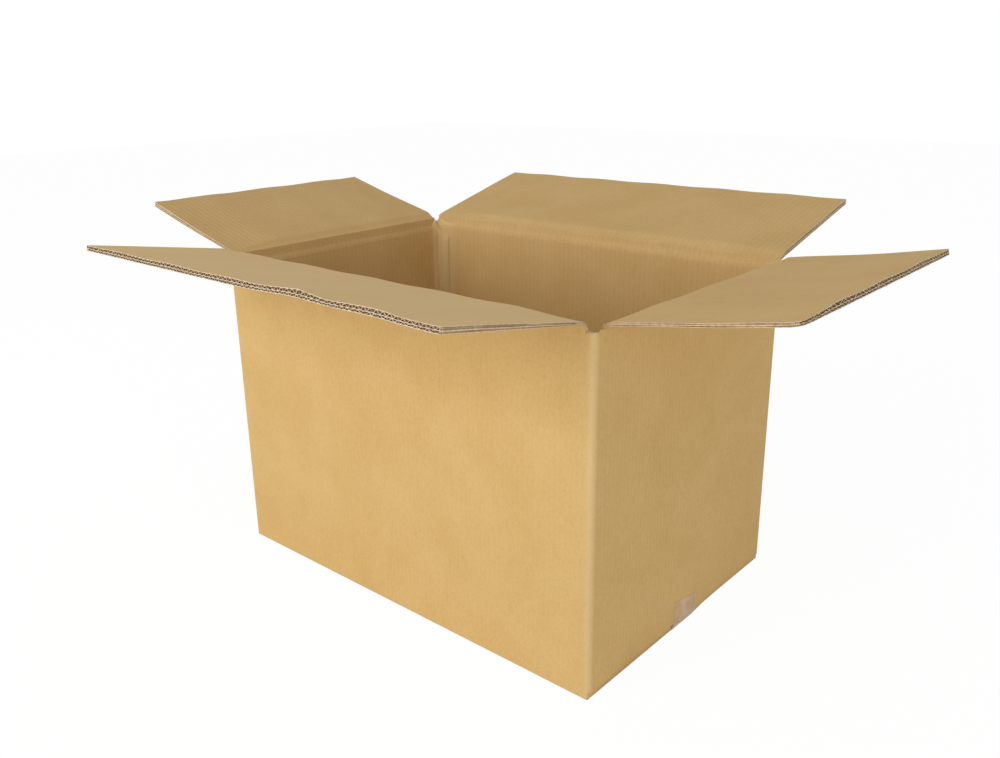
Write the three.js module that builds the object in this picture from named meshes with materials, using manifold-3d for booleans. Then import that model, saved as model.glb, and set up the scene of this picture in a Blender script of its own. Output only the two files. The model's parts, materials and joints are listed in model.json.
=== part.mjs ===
// A double wall corrugated shipping box, open at the top, its four top flaps folded out and its
// bottom flaps folded shut and taped. Millimetres, +Z up. The origin is on the floor, under the
// middle of the box. X runs along the box and Y across it: the front is at -Y, the right end at +X.

import * as THREE from 'three';
import { mergeGeometries, mergeVertices } from 'three/addons/utils/BufferGeometryUtils.js';
import Module from 'manifold-3d';

const wasm = await Module();
wasm.setup();

// The box, outside
const BOX_LENGTH = 574;
const BOX_WIDTH = 380;
const CREASE_HEIGHT = 400; // floor to the creases of the front and back flaps
const CORNER_RADIUS = 8; // outside of the four upright folds
const INNER_CORNER_RADIUS = 1.5;
const FOLD_RADIUS = 3; // outside of the folds along the bottom

// The board: three liners with a fine flute outside and a coarse one inside.
// The flutes are a fifth wider than on real board, which keeps the solids light.
const LINER = 0.5;
const OUTER_FLUTE = 2.3;
const INNER_FLUTE = 3.2;
const OUTER_FLUTE_PITCH = 7.9;
const INNER_FLUTE_PITCH = 9.4;
const FLUTE_PAPER = 0.5;
const BOARD = 3 * LINER + OUTER_FLUTE + INNER_FLUTE;

// The top flaps
const MEETING_GAP = 1.5; // between two closed flaps, or two bottom flaps
const SCORE_WIDTH = 6; // pressed flat past the mitre at each crease
const OPEN_EDGE = 2.5; // how far the cut sides show the board open between its liners
const CREASE_GAP = 0.4; // from the crease line to the board on either side of it
const HINGE_STANDOFF = 0.15; // the crease line stands this far outside the wall
const CLOSED_GAP = 0.3; // between the end flaps and the long flaps over them
const END_FLAP_CLEARANCE = 1.5; // between a closed end flap and the long walls
const FRONT_SLOT = 10.5; // from the box's ends to the front flap's sides
const BACK_SLOT_LEFT = 7.5;
const BACK_SLOT_RIGHT = 1.5;
const SLOT_DROP = 4.5; // the corner slots run on below the end creases
const FRONT_FOLD = 80.2; // degrees outward from upright, as the box stands
const BACK_FOLD = 76.5;
const RIGHT_FOLD = 79;
const LEFT_FOLD = 74.7;

// The bottom
const LAYER_GAP = 0.3; // between the end flaps and the long flaps under them
const BOTTOM_SLOT = 3; // the long flaps stop this far short of the box's ends
const BOTTOM_CLEARANCE = 1.5; // between the end flaps and the long walls

// The glued lap that closes the sheet into a box, inside the far left corner
const LAP_WIDTH = 32;
const LAP_THICKNESS = 4; // pressed thinner than the board
const LAP_END_GAP = 12; // from the lap's ends to the flaps above and below
const LAP_TAPER = 8;

// The tape along the bottom seam, turned up over both ends
const TAPE_WIDTH = 48;
const TAPE_THICKNESS = 0.3;
const TAPE_RISE_NEAR = 38; // height of its cut end at the front side of the strip
const TAPE_RISE_FAR = 30;

// Heights and lengths that follow
const END_CREASE_HEIGHT = CREASE_HEIGHT - BOARD - CLOSED_GAP;
const FLAP_LENGTH = (BOX_WIDTH - MEETING_GAP) / 2;
const END_SLOT = BOARD + END_FLAP_CLEARANCE;
const LONG_FLAP_TOP = TAPE_THICKNESS + BOARD;
const END_FLAP_UNDERSIDE = LONG_FLAP_TOP + LAYER_GAP;
const END_FLAP_TOP = END_FLAP_UNDERSIDE + BOARD;
const HALF_LENGTH = BOX_LENGTH / 2;
const HALF_WIDTH = BOX_WIDTH / 2;
const PAST = 5; // cutters run this far past what they cut
const ARC_STEPS = 6;

const outerKraft = new THREE.MeshStandardMaterial({ color: 0xc69f68, roughness: 0.85 });
const flapKraft = new THREE.MeshStandardMaterial({ color: 0xbd9661, roughness: 0.85 });
const clearTape = new THREE.MeshStandardMaterial({ color: 0xc9a98c, roughness: 0.3 });

function solidOf(geometry) {
  const bare = geometry.clone();
  bare.deleteAttribute('normal');
  bare.deleteAttribute('uv');
  const merged = mergeVertices(bare, 1e-4);
  return new wasm.Manifold(
    new wasm.Mesh({
      numProp: 3,
      vertProperties: Float32Array.from(merged.attributes.position.array),
      triVerts: Uint32Array.from(merged.index.array),
    }),
  );
}

function geometryOf(solid) {
  const mesh = solid.getMesh();
  const geometry = new THREE.BufferGeometry();
  geometry.setAttribute('position', new THREE.Float32BufferAttribute(mesh.vertProperties, 3));
  geometry.setIndex(new THREE.Uint32BufferAttribute(mesh.triVerts, 1));
  geometry.computeVertexNormals();
  return geometry;
}

function namedMesh(name, solid, material) {
  const mesh = new THREE.Mesh(geometryOf(solid), material);
  mesh.name = name;
  return mesh;
}

// A box between two corners.
function block(x0, x1, y0, y1, z0, z1) {
  const geometry = new THREE.BoxGeometry(x1 - x0, y1 - y0, z1 - z0);
  geometry.translate((x0 + x1) / 2, (y0 + y1) / 2, (z0 + z1) / 2);
  return solidOf(geometry);
}

function extruded(shape, low, high) {
  const geometry = new THREE.ExtrudeGeometry(shape, {
    depth: high - low,
    bevelEnabled: false,
    curveSegments: ARC_STEPS,
  });
  geometry.translate(0, 0, low);
  return geometry;
}

// An outline in Z and X, drawn out along Y.
function runAcross(shape, from, to) {
  const turn = new THREE.Matrix4().makeBasis(
    new THREE.Vector3(0, 0, 1),
    new THREE.Vector3(1, 0, 0),
    new THREE.Vector3(0, 1, 0),
  );
  return solidOf(extruded(shape, from, to).applyMatrix4(turn));
}

// An outline in Y and Z, drawn out along X.
function runAlong(shape, from, to) {
  const turn = new THREE.Matrix4().makeBasis(
    new THREE.Vector3(0, 1, 0),
    new THREE.Vector3(0, 0, 1),
    new THREE.Vector3(1, 0, 0),
  );
  return solidOf(extruded(shape, from, to).applyMatrix4(turn));
}

function outline(points) {
  return new THREE.Shape(points.map(([a, b]) => new THREE.Vector2(a, b)));
}

function roundedRectangle(length, width, radius) {
  const x = length / 2 - radius;
  const y = width / 2 - radius;
  const shape = new THREE.Shape();
  shape.absarc(x, y, radius, 0, Math.PI / 2);
  shape.absarc(-x, y, radius, Math.PI / 2, Math.PI);
  shape.absarc(-x, -y, radius, Math.PI, 1.5 * Math.PI);
  shape.absarc(x, -y, radius, 1.5 * Math.PI, 2 * Math.PI);
  shape.closePath();
  return shape;
}

// What is cut away above a wall: the board is pressed to a mitre below its crease.
// The outline is for a wall at the positive side, as distance out from the middle and height.
function mitreAbove(outer, crease) {
  const edge = crease - CREASE_GAP;
  return [
    [outer + PAST, edge],
    [outer, edge],
    [outer - BOARD, edge - BOARD],
    [outer - BOARD - PAST, edge - BOARD],
    [outer - BOARD - PAST, CREASE_HEIGHT + PAST],
    [outer + PAST, CREASE_HEIGHT + PAST],
  ];
}

// What is cut away outside a rounded fold along the bottom, in the same coordinates.
function roundingBelow(outer, base) {
  const points = [
    [outer + PAST, base + FOLD_RADIUS],
    [outer, base + FOLD_RADIUS],
  ];
  for (let step = 1; step < ARC_STEPS; step += 1) {
    const angle = (step / ARC_STEPS) * (Math.PI / 2);
    points.push([
      outer - FOLD_RADIUS * (1 - Math.cos(angle)),
      base + FOLD_RADIUS * (1 - Math.sin(angle)),
    ]);
  }
  points.push([outer - FOLD_RADIUS, base], [outer - FOLD_RADIUS, base - PAST]);
  points.push([outer + PAST, base - PAST]);
  return points;
}

// Cutters for the front and back walls, and for the two ends, from one outline.
function onLongSides(points, from, to) {
  const back = runAlong(outline(points.map(([out, up]) => [out, up])), from, to);
  const front = runAlong(outline(points.map(([out, up]) => [-out, up])), from, to);
  return back.add(front);
}

function onEnds(points, from, to) {
  const right = runAcross(outline(points.map(([out, up]) => [up, out])), from, to);
  const left = runAcross(outline(points.map(([out, up]) => [up, -out])), from, to);
  return right.add(left);
}

// The slots between neighbouring flaps, cut square at each upright fold.
function cornerSlots() {
  const floor = END_CREASE_HEIGHT - SLOT_DROP;
  const corners = [
    [1, -1, FRONT_SLOT],
    [-1, -1, FRONT_SLOT],
    [1, 1, BACK_SLOT_RIGHT],
    [-1, 1, BACK_SLOT_LEFT],
  ];
  return corners.map(([alongSign, acrossSign, slot]) => {
    const x = [alongSign * (HALF_LENGTH - slot), alongSign * (HALF_LENGTH + PAST)];
    const y = [acrossSign * (HALF_WIDTH - END_SLOT), acrossSign * (HALF_WIDTH + PAST)];
    return block(
      Math.min(...x), Math.max(...x),
      Math.min(...y), Math.max(...y),
      floor, CREASE_HEIGHT + PAST,
    );
  });
}

// The four bottom flaps: the end flaps lie inside, over the long flaps, which meet at the seam.
function bottomCuts() {
  const wellHalf = HALF_LENGTH - FLAP_LENGTH;
  const insideHalf = HALF_WIDTH - BOARD;
  const cuts = [
    block(-wellHalf, wellHalf, -insideHalf, insideHalf, LONG_FLAP_TOP, END_FLAP_TOP + PAST),
    block(
      -HALF_LENGTH - PAST, HALF_LENGTH + PAST, -insideHalf, insideHalf,
      LONG_FLAP_TOP, END_FLAP_UNDERSIDE,
    ),
    block(
      -HALF_LENGTH - PAST, HALF_LENGTH + PAST, -MEETING_GAP / 2, MEETING_GAP / 2,
      -PAST, END_FLAP_UNDERSIDE,
    ),
  ];
  for (const side of [-1, 1]) {
    const ends = [side * (HALF_LENGTH - BOTTOM_SLOT), side * (HALF_LENGTH + PAST)];
    cuts.push(
      block(
        Math.min(...ends), Math.max(...ends), -HALF_WIDTH - PAST, HALF_WIDTH + PAST,
        -PAST, END_FLAP_UNDERSIDE,
      ),
    );
    const beside = [side * (insideHalf - BOTTOM_CLEARANCE), side * insideHalf];
    cuts.push(
      block(
        -HALF_LENGTH + BOARD, HALF_LENGTH - BOARD, Math.min(...beside), Math.max(...beside),
        END_FLAP_UNDERSIDE - LAYER_GAP, END_FLAP_TOP + PAST,
      ),
    );
  }
  return cuts;
}

// The glued lap turns in from the left end and lies on the back wall.
function gluedLap() {
  const start = -HALF_LENGTH + BOARD / 2;
  const fold = -HALF_LENGTH + BOARD;
  const edge = fold + LAP_WIDTH;
  const low = END_FLAP_TOP + LAP_END_GAP;
  const high = END_CREASE_HEIGHT - BOARD - LAP_END_GAP;
  const face = new THREE.Shape();
  face.moveTo(low, start);
  face.lineTo(low, fold);
  face.lineTo(low + LAP_TAPER, edge);
  face.lineTo(high - LAP_TAPER, edge);
  face.lineTo(high, fold);
  face.lineTo(high, start);
  face.closePath();
  const wall = HALF_WIDTH - BOARD;
  return runAcross(face, wall - LAP_THICKNESS, wall + BOARD / 2);
}

function cartonBody() {
  const outside = solidOf(
    extruded(
      roundedRectangle(BOX_LENGTH, BOX_WIDTH, CORNER_RADIUS),
      TAPE_THICKNESS, CREASE_HEIGHT - CREASE_GAP,
    ),
  );
  const inside = solidOf(
    extruded(
      roundedRectangle(BOX_LENGTH - 2 * BOARD, BOX_WIDTH - 2 * BOARD, INNER_CORNER_RADIUS),
      END_FLAP_TOP, CREASE_HEIGHT + PAST,
    ),
  );
  const insideHalf = HALF_WIDTH - BOARD;
  const past = HALF_LENGTH + PAST;
  const cuts = [
    inside,
    onLongSides(mitreAbove(HALF_WIDTH, CREASE_HEIGHT), -past, past),
    onEnds(mitreAbove(HALF_LENGTH, END_CREASE_HEIGHT), -insideHalf, insideHalf),
    onLongSides(roundingBelow(HALF_WIDTH, TAPE_THICKNESS), -past, past),
    onEnds(roundingBelow(HALF_LENGTH, END_FLAP_UNDERSIDE), -HALF_WIDTH - PAST, HALF_WIDTH + PAST),
    ...cornerSlots(),
    ...bottomCuts(),
  ];
  const walls = cuts.reduce((solid, cut) => solid.subtract(cut), outside);
  return namedMesh('carton_body', walls.add(gluedLap()), outerKraft);
}

// The heights, through the board from its outside, between which each flute runs.
const FLUTE_LAYERS = [
  { low: LINER, high: LINER + OUTER_FLUTE, pitch: OUTER_FLUTE_PITCH },
  { low: BOARD - LINER - INNER_FLUTE, high: BOARD - LINER, pitch: INNER_FLUTE_PITCH },
];

// The hollows that a fluted sheet leaves between two liners, seen from the board's cut end.
function fluteHollows({ low, high, pitch }, from, to) {
  const half = pitch / 2;
  const slope = (high - low) / half;
  const web = FLUTE_PAPER / 2 / Math.sin(Math.atan(slope));
  const rise = high - low - web * slope;
  const count = Math.floor((to - from) / half) - 1;
  const start = (from + to - (count + 1) * half) / 2;
  const hollows = [];
  for (let index = 0; index < count; index += 1) {
    const left = start + index * half;
    const upright = index % 2 === 0;
    const base = upright ? low : high;
    const tip = upright ? low + rise : high - rise;
    hollows.push(outline([[left + web, base], [left + pitch - web, base], [left + half, tip]]));
  }
  return hollows;
}

// The board's cut end, with its liners proud at both sides.
function boardEnd(left, right) {
  const rightSide = [[right, 0]];
  for (const { low, high } of FLUTE_LAYERS) {
    rightSide.push([right, low], [right - OPEN_EDGE, low], [right - OPEN_EDGE, high], [right, high]);
  }
  rightSide.push([right, BOARD]);
  const leftSide = rightSide.map(([across, up]) => [left + right - across, up]).reverse();
  return outline([...rightSide, ...leftSide]);
}

// Every hollow of both flutes, drawn out along the flap.
function flutes(left, right, from, to) {
  const margin = OPEN_EDGE + FLUTE_PAPER;
  const hollows = FLUTE_LAYERS.flatMap((layer) => fluteHollows(layer, left + margin, right - margin));
  return mergeGeometries(hollows.map((hollow) => extruded(hollow, from, to)));
}

// A flap standing upright on its crease line, which is the local X axis; its outside faces -Y.
function uprightFlap(left, right) {
  const pressed = BOARD + CREASE_GAP + SCORE_WIDTH;
  const board = extruded(boardEnd(left, right), pressed, FLAP_LENGTH);
  board.translate(0, HINGE_STANDOFF, 0);
  const hollows = flutes(left, right, pressed, FLAP_LENGTH + PAST);
  hollows.translate(0, HINGE_STANDOFF, 0);
  const foot = outline([
    [HINGE_STANDOFF, CREASE_GAP],
    [HINGE_STANDOFF, pressed],
    [HINGE_STANDOFF + BOARD, pressed],
    [HINGE_STANDOFF + BOARD, BOARD + CREASE_GAP],
  ]);
  return solidOf(board).subtract(solidOf(hollows)).add(runAlong(foot, left, right));
}

// A flap on the side of the box that the turn about Z brings to the front, folded outward.
function topFlap({ name, side, turn, distance, height, left, right, fold }) {
  const crease = new THREE.Group();
  const out = distance + HINGE_STANDOFF;
  crease.position.set(side[0] * out, side[1] * out, height);
  crease.rotation.z = THREE.MathUtils.degToRad(turn);
  const panel = namedMesh(name, uprightFlap(left, right), flapKraft);
  panel.rotation.x = THREE.MathUtils.degToRad(fold);
  crease.add(panel);
  return crease;
}

function longFlap(name, side, turn, slotLeft, slotRight, fold) {
  return topFlap({
    name, side, turn, fold,
    distance: HALF_WIDTH,
    height: CREASE_HEIGHT,
    left: -HALF_LENGTH + slotLeft,
    right: HALF_LENGTH - slotRight,
  });
}

function endFlap(name, side, turn, fold) {
  return topFlap({
    name, side, turn, fold,
    distance: HALF_LENGTH,
    height: END_CREASE_HEIGHT,
    left: -HALF_WIDTH + END_SLOT,
    right: HALF_WIDTH - END_SLOT,
  });
}

function bottomTape() {
  const half = TAPE_WIDTH / 2;
  const outer = HALF_LENGTH + TAPE_THICKNESS;
  const strip = block(-outer, outer, -half, half, 0, TAPE_THICKNESS);
  const end = outline([
    [-half, 0],
    [half, 0],
    [half, TAPE_RISE_FAR],
    [-half, TAPE_RISE_NEAR],
  ]);
  const right = runAlong(end, HALF_LENGTH, outer);
  const left = runAlong(end, -outer, -HALF_LENGTH);
  return namedMesh('bottom_tape', strip.add(right).add(left), clearTape);
}

const box = new THREE.Group();
box.name = 'shipping_box';
box.add(cartonBody());
box.add(bottomTape());
box.add(longFlap('front_flap', [0, -1], 0, FRONT_SLOT, FRONT_SLOT, FRONT_FOLD));
box.add(longFlap('back_flap', [0, 1], 180, BACK_SLOT_RIGHT, BACK_SLOT_LEFT, BACK_FOLD));
box.add(endFlap('right_flap', [1, 0], 90, RIGHT_FOLD));
box.add(endFlap('left_flap', [-1, 0], -90, LEFT_FOLD));

export default box;
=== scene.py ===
"""A double wall corrugated shipping box, open, with its flaps folded out and its bottom taped.

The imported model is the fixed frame. This file draws the board's real flutes, its pressed creases,
its kraft paper and its tape over that frame, and sets the camera, the light and the floor.
"""

import json
import logging
import math
from dataclasses import dataclass, field
from enum import IntEnum

import bpy
import numpy as np
from mathutils import Matrix, Vector


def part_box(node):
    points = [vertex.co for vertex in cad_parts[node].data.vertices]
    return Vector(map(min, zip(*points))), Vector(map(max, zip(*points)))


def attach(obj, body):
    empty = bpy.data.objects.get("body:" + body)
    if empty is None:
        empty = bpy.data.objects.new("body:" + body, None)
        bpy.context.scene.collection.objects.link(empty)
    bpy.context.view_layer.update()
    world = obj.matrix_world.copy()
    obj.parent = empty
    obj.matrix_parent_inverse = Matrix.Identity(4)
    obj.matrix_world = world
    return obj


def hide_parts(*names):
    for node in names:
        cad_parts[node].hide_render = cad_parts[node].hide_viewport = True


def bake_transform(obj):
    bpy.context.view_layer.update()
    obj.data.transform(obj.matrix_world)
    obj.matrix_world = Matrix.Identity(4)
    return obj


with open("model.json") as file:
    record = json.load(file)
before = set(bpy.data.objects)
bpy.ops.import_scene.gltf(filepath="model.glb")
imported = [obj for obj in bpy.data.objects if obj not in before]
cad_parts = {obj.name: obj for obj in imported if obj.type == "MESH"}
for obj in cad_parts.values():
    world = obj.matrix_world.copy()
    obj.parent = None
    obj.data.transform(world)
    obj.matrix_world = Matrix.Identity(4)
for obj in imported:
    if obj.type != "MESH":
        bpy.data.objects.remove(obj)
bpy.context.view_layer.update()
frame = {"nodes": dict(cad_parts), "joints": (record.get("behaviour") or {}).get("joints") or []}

LOG = logging.getLogger("shipping_box")
MM = 0.001


class BoardFace(IntEnum):
    """What a face of the board shows, as its material's place on the piece."""

    OUTSIDE = 0
    INSIDE = 1
    CUT = 2


@dataclass(frozen=True)
class Board:
    """BC double wall board, in metres, with its layers listed from the outside.

    The liners and the flute paper are drawn twice as thick as real paper, because a cut edge
    would otherwise be too fine to show.
    """

    thickness: float = 7.0 * MM
    liner: float = 0.65 * MM
    paper: float = 0.4 * MM
    outer_flute: float = 2.2 * MM
    outer_pitch: float = 6.7 * MM
    inner_pitch: float = 7.8 * MM

    @property
    def inner_flute(self) -> float:
        """Height of the coarse flute, which fills what the other layers leave."""
        return self.thickness - 3 * self.liner - self.outer_flute


BOARD = Board()

# Above this height through the board, a point belongs to the inner liner.
INNER_LINER = 5.5 * MM

# A pressed crease keeps this share of the board's thickness, and the board is whole again at the
# reach from it.
PRESSED_SHARE = 0.36
PRESSED_REACH = 15 * MM


def linear(hex_colour: str) -> tuple[float, float, float, float]:
    """Turns an sRGB hex colour to linear.

    Args:
        hex_colour: six hex digits after a hash mark.

    Returns:
        Red, green, blue and an alpha of 1.
    """
    channels = [int(hex_colour[i : i + 2], 16) / 255 for i in (1, 3, 5)]
    lin = [c / 12.92 if c <= 0.04045 else ((c + 0.055) / 1.055) ** 2.4 for c in channels]
    return (*lin, 1.0)


def add_node(
    tree: bpy.types.NodeTree,
    kind: str,
    inputs: dict[str | int, object] | None = None,
    settings: dict[str, object] | None = None,
) -> bpy.types.Node:
    """Adds a shader node with its values, links and settings.

    Args:
        tree: the node tree that takes the node.
        kind: the node's type name, without the ShaderNode that it starts with.
        inputs: for each input, a value, or the output socket that is linked to it.
        settings: attributes of the node.

    Returns:
        The new node.
    """
    node = tree.nodes.new(f"ShaderNode{kind}")
    for name, value in (settings or {}).items():
        setattr(node, name, value)
    for name, value in (inputs or {}).items():
        if isinstance(value, bpy.types.NodeSocket):
            tree.links.new(value, node.inputs[name])
        else:
            node.inputs[name].default_value = value
    return node


def add_ramp(tree: bpy.types.NodeTree, value: bpy.types.NodeSocket,
             stops: list[tuple[float, tuple]]) -> bpy.types.NodeSocket:
    """Adds a colour ramp.

    Args:
        tree: the node tree that takes it.
        value: the socket that it reads.
        stops: position and colour of each stop, from low to high.

    Returns:
        The socket of its colour.
    """
    node = add_node(tree, "ValToRGB", {"Fac": value})
    elements = node.color_ramp.elements
    while len(elements) < len(stops):
        elements.new(1.0)
    for element, (position, colour) in zip(elements, stops):
        element.position = position
        element.color = colour
    return node.outputs["Color"]


def grey(value: float) -> tuple[float, float, float, float]:
    """Gives an even grey as a linear colour."""
    return (value, value, value, 1.0)


def start_material(name: str) -> tuple[bpy.types.Material, bpy.types.NodeTree, bpy.types.Node]:
    """Starts a material.

    Args:
        name: the material's name.

    Returns:
        The material, its node tree and its shader.
    """
    mat = bpy.data.materials.new(name)
    mat.use_nodes = True
    return mat, mat.node_tree, mat.node_tree.nodes["Principled BSDF"]


@dataclass(frozen=True)
class KraftLiner:
    """Kraft linerboard: unbleached brown paper, machine finished and matt.

    It gives the eye an even tan with cloudy mottling, short dark fibres, and faint lines of painted
    shade where it ripples over the tips of the flutes.
    """

    name: str
    colour: str
    shade: str
    # The paler colour that painted light mixes in.
    painted_highlight: str
    flute_pitch: float
    ripple_shade: float
    washboard: float = 0.12 * MM
    roughness: float = 0.82
    cloud: float = 0.09
    fibre: float = 0.0022

    def material(self) -> bpy.types.Material:
        """Makes the paper's material.

        Returns:
            The material, which reads the UV map named board and the attribute named rub, whose
            paler colour is painted light.
        """
        mat, tree, shader = start_material(self.name)
        place = add_node(tree, "TexCoord").outputs["Object"]
        sheet = add_node(tree, "UVMap", None, {"uv_map": "board"}).outputs["UV"]

        clouds = add_node(
            tree, "TexNoise",
            {"Vector": place, "Scale": 1 / self.cloud, "Detail": 5.0, "Roughness": 0.62},
        )
        tones = [(0.36, linear(self.shade)), (0.62, linear(self.colour))]
        tone = add_ramp(tree, clouds.outputs["Fac"], tones)

        stretch = add_node(tree, "Mapping", {"Vector": place, "Scale": (1.0, 1.0, 0.7)})
        fibres = add_node(
            tree, "TexNoise",
            {"Vector": stretch.outputs["Vector"], "Scale": 1 / self.fibre, "Detail": 3.0},
        )
        specks = [(0.3, grey(0.93)), (0.5, grey(1.0)), (0.72, grey(1.03))]
        speck = add_ramp(tree, fibres.outputs["Fac"], specks)
        multiply = {"data_type": "RGBA", "blend_type": "MULTIPLY"}
        flecked = add_node(tree, "Mix", {"Factor": 1.0, "A": tone, "B": speck}, multiply)

        # A sine along U paints shade in one line for each flute tip, where the liner ripples over
        # it.
        # Wave Texture repeats every 2 pi / 20.
        lines = add_node(
            tree, "TexWave",
            {"Vector": sheet, "Scale": math.pi / 10 / self.flute_pitch, "Distortion": 0.6,
             "Detail": 2.0, "Detail Scale": 0.4},
            {"wave_type": "BANDS", "bands_direction": "X", "wave_profile": "SIN"},
        )
        # Painted shade of the washboard ripples, darker along each flute tip.
        shades = [(0.0, grey(1.0 - self.ripple_shade)), (1.0, grey(1.0))]
        ripple_shaded = add_ramp(tree, lines.outputs["Fac"], shades)
        fleck = flecked.outputs["Result"]
        washed = add_node(tree, "Mix", {"Factor": 1.0, "A": fleck, "B": ripple_shaded}, multiply)

        # Painted light: a point attribute mixes in the paler colour on corners, bead, lap and
        # flaps, for light that falls there.
        painted_light = add_node(tree, "Attribute", None, {"attribute_name": "painted_light"})
        lightened = add_node(
            tree, "Mix",
            {"Factor": painted_light.outputs["Fac"], "A": washed.outputs["Result"],
             "B": linear(self.painted_highlight)},
            {"data_type": "RGBA"},
        )
        tree.links.new(lightened.outputs["Result"], shader.inputs["Base Color"])

        ridges = add_node(
            tree, "Bump",
            {"Height": lines.outputs["Fac"], "Distance": self.washboard, "Strength": 1.0},
        )
        grain = add_node(
            tree, "Bump",
            {"Height": fibres.outputs["Fac"], "Distance": 0.05 * MM, "Strength": 0.5,
             "Normal": ridges.outputs["Normal"]},
        )
        tree.links.new(grain.outputs["Normal"], shader.inputs["Normal"])
        shader.inputs["Roughness"].default_value = self.roughness
        shader.inputs["Specular IOR Level"].default_value = 0.25
        return mat


@dataclass(frozen=True)
class CutPaper:
    """The cut edge of paper and board: raw fibre, paler and rougher than the liner's face."""

    name: str
    colour: str
    shade: str

    def material(self) -> bpy.types.Material:
        """Makes the raw edge's material.

        Returns:
            The material, with a coarse fibre grain.
        """
        mat, tree, shader = start_material(self.name)
        place = add_node(tree, "TexCoord").outputs["Object"]
        fibres = add_node(tree, "TexNoise", {"Vector": place, "Scale": 320.0, "Detail": 4.0})
        tones = [(0.35, linear(self.shade)), (0.6, linear(self.colour))]
        tone = add_ramp(tree, fibres.outputs["Fac"], tones)
        tree.links.new(tone, shader.inputs["Base Color"])
        shader.inputs["Roughness"].default_value = 0.95
        shader.inputs["Specular IOR Level"].default_value = 0.15
        return mat


@dataclass(frozen=True)
class PackingTape:
    """Clear polypropylene packing tape, cast thin and glossy, greyed by its glue."""

    name: str = "clear_packing_tape"
    colour: str = "#F8DAB4"
    shade: str = "#EFCBA2"

    def material(self) -> bpy.types.Material:
        """Makes the tape's material.

        Returns:
            The material, partly see-through, with cloudy glue below a smooth face.
        """
        mat, tree, shader = start_material(self.name)
        place = add_node(tree, "TexCoord").outputs["Object"]
        glue = add_node(tree, "TexNoise", {"Vector": place, "Scale": 90.0, "Detail": 3.0})
        tones = [(0.35, linear(self.shade)), (0.65, linear(self.colour))]
        tone = add_ramp(tree, glue.outputs["Fac"], tones)
        tree.links.new(tone, shader.inputs["Base Color"])
        cover = add_node(
            tree, "MapRange",
            {"Value": glue.outputs["Fac"], "From Min": 0.3, "From Max": 0.7,
             "To Min": 0.42, "To Max": 0.55},
        )
        tree.links.new(cover.outputs["Result"], shader.inputs["Alpha"])
        shader.inputs["Roughness"].default_value = 0.28
        shader.inputs["IOR"].default_value = 1.49
        return mat


# The fourth colour is the paler colour of the painted light; the last number is how dark the
# painted shade of the washboard ripples is.
OUTER_PAPER = KraftLiner(
    "kraft_liner_outside", "#DDB97A", "#D8B372", "#E2C592", BOARD.outer_pitch, 0.015
)
INNER_PAPER = KraftLiner(
    "kraft_liner_inside", "#D9B57A", "#D3AE71", "#EACB94", BOARD.inner_pitch, 0.035,
    washboard=0.16 * MM,
)
FLUTE_STOCK = CutPaper("flute_paper", "#C4A27A", "#AD8A60")
RAW_EDGE = CutPaper("raw_board_edge", "#EBDDC6", "#D6C19C")


class Finishes:
    """The materials, each made once."""

    def __init__(self) -> None:
        """Makes every material."""
        self.outside = OUTER_PAPER.material()
        self.inside = INNER_PAPER.material()
        self.flute = FLUTE_STOCK.material()
        self.edge = RAW_EDGE.material()
        self.tape = PackingTape().material()


def start_alone() -> None:
    """Leaves edit mode and deselects everything."""
    if bpy.context.mode != "OBJECT":
        bpy.ops.object.mode_set(mode="OBJECT")
    bpy.ops.object.select_all(action="DESELECT")


def work_on(piece: bpy.types.Object) -> None:
    """Makes one object the only selected and active one.

    Args:
        piece: the object.
    """
    start_alone()
    piece.select_set(True)
    bpy.context.view_layer.objects.active = piece


def edit_whole(piece: bpy.types.Object) -> None:
    """Opens an object in edit mode with all of it selected.

    Args:
        piece: the object.
    """
    work_on(piece)
    bpy.ops.object.mode_set(mode="EDIT")
    bpy.ops.mesh.select_all(action="SELECT")


def shade_smooth(piece: bpy.types.Object, degrees: float) -> None:
    """Shades a piece smooth, apart from its edges that are sharper than an angle."""
    work_on(piece)
    bpy.ops.object.shade_smooth_by_angle(angle=math.radians(degrees))


def cut_across(piece: bpy.types.Object, planes: list[tuple[tuple, tuple]]) -> None:
    """Cuts a piece's faces along planes, and makes triangles of what is left.

    Args:
        piece: the object.
        planes: a point and a normal for each plane.
    """
    edit_whole(piece)
    for place, normal in planes:
        bpy.ops.mesh.select_all(action="SELECT")
        bpy.ops.mesh.bisect(plane_co=place, plane_no=normal)
    bpy.ops.mesh.select_all(action="SELECT")
    bpy.ops.mesh.quads_convert_to_tris()
    bpy.ops.object.mode_set(mode="OBJECT")


def copy_of(node: str, name: str) -> bpy.types.Object:
    """Copies a solid of the frame, with its mesh, and leaves the solid as it is.

    Args:
        node: the solid's name.
        name: the copy's name.

    Returns:
        The copy, merged, with no parent and no material.
    """
    start_alone()
    piece = frame["nodes"][node].copy()
    piece.data = piece.data.copy()
    piece.parent = None
    piece.matrix_world = Matrix.Identity(4)
    piece.name = name
    bpy.context.collection.objects.link(piece)
    for key in list(piece.keys()):
        del piece[key]
    piece.data.materials.clear()
    edit_whole(piece)
    bpy.ops.mesh.remove_doubles(threshold=0.01 * MM)
    bpy.ops.object.mode_set(mode="OBJECT")
    return piece


def read_points(piece: bpy.types.Object) -> np.ndarray:
    """Reads a mesh's points.

    Args:
        piece: the object.

    Returns:
        One row for each point.
    """
    flat = np.empty(len(piece.data.vertices) * 3)
    piece.data.vertices.foreach_get("co", flat)
    return flat.reshape(-1, 3)


def write_points(piece: bpy.types.Object, points: np.ndarray) -> None:
    """Moves a mesh's points."""
    piece.data.vertices.foreach_set("co", points.astype(np.float32).ravel())
    piece.data.update()


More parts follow.
